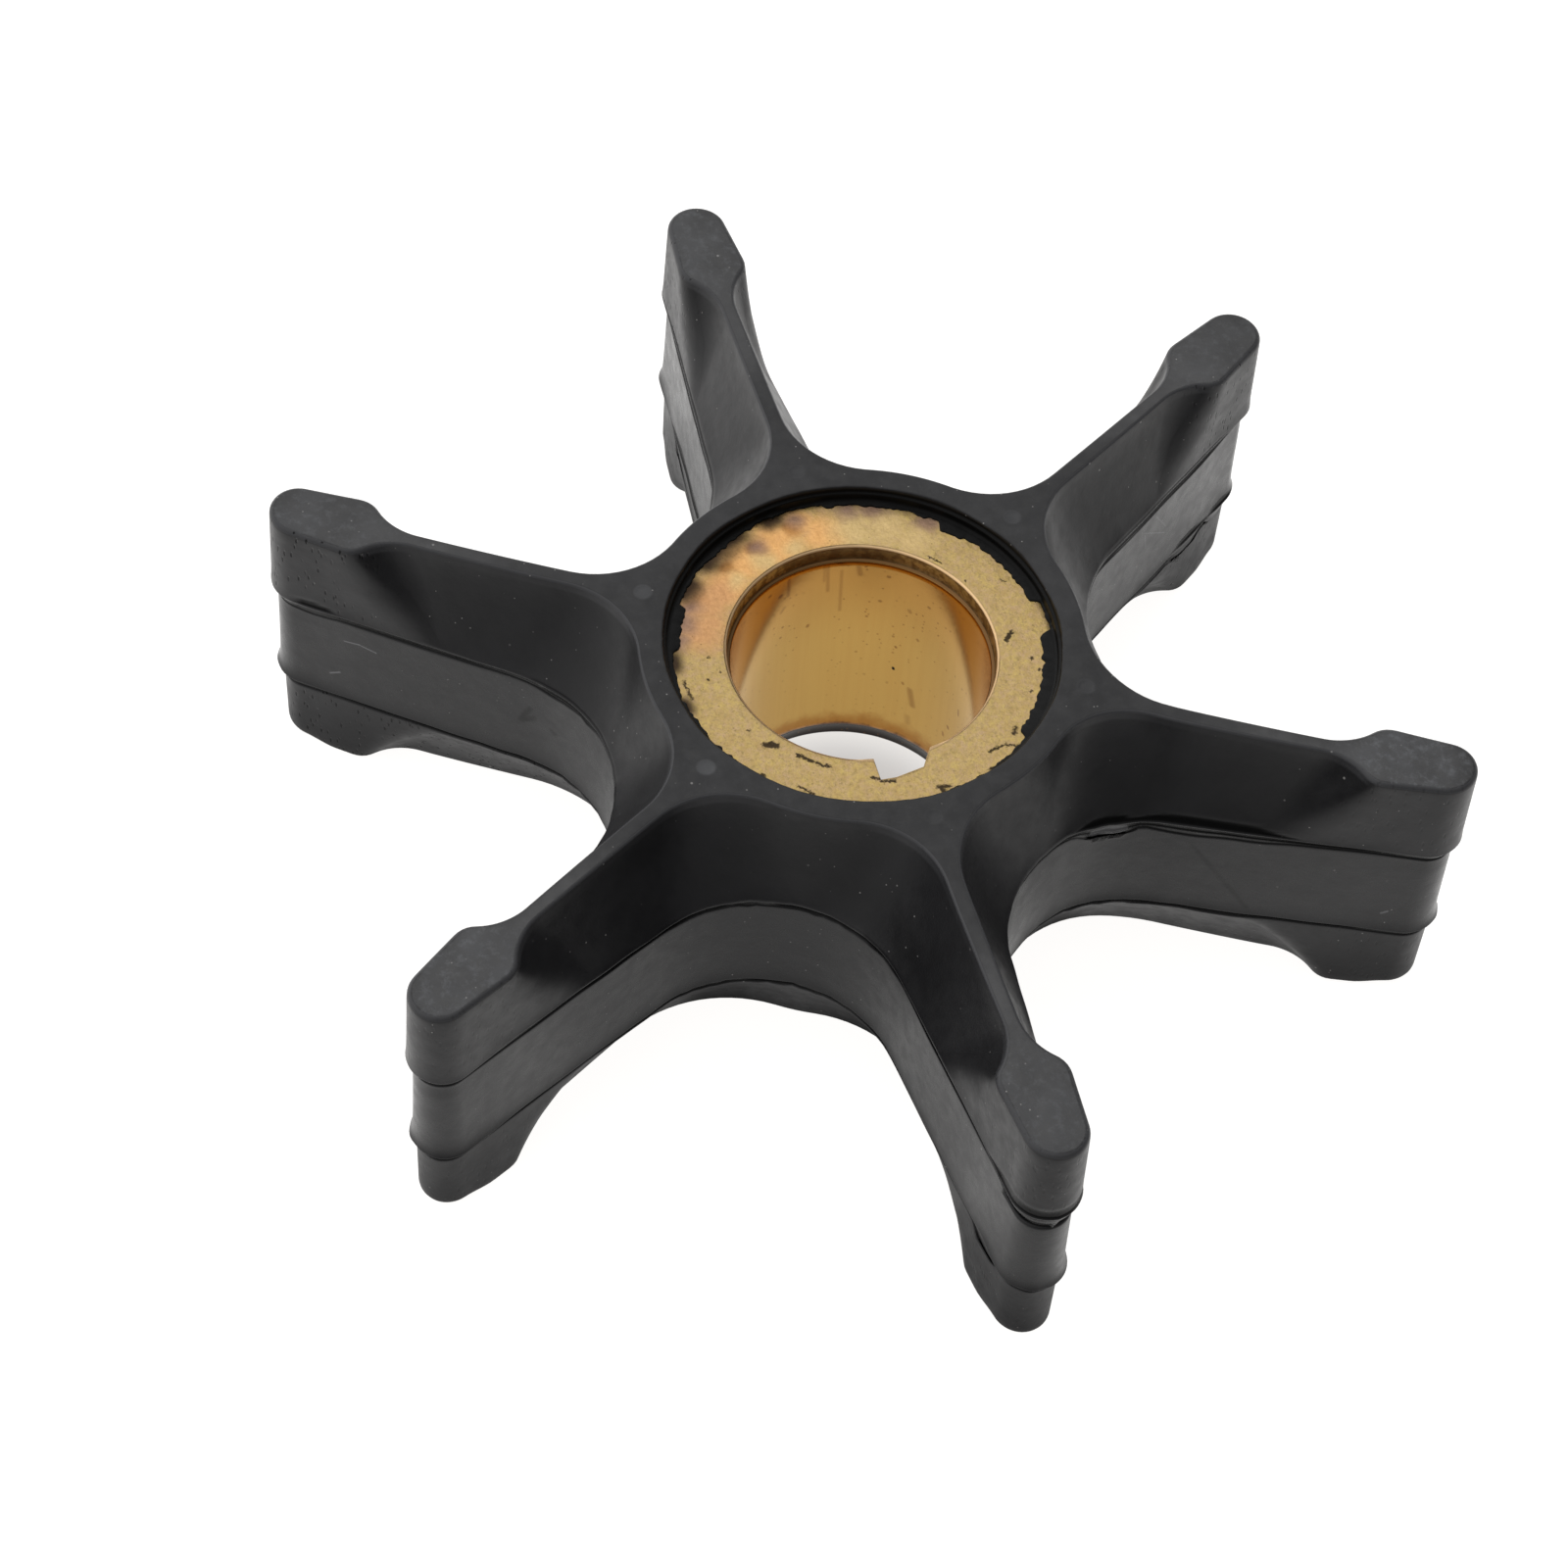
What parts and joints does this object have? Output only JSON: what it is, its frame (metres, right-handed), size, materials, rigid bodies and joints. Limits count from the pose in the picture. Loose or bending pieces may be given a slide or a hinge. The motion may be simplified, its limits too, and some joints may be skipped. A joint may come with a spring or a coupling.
{
  "type": "rubber pump impeller",
  "caption": "Flexible rubber impeller for a water pump, with scooped bulb-tipped vanes, bonded on a keyed brass bushing that slides on the drive shaft.",
  "frame": {"origin": "bore axis at the lower rubber face, which is the bottom centre of the whole part", "axes": "+Z along the bore towards the upper face; +X along the vane whose centre line the keyway faces"},
  "size_m": [0.0666, 0.0582, 0.0184],
  "materials": {
    "rubber": "moulded matte black, slightly glossy flanks",
    "brass": "turned, tarnished at the rims"
  },
  "bodies": {
    "root": {"rubber_impeller": "rubber", "brass_bushing": "brass"}
  },
  "joints": []
}
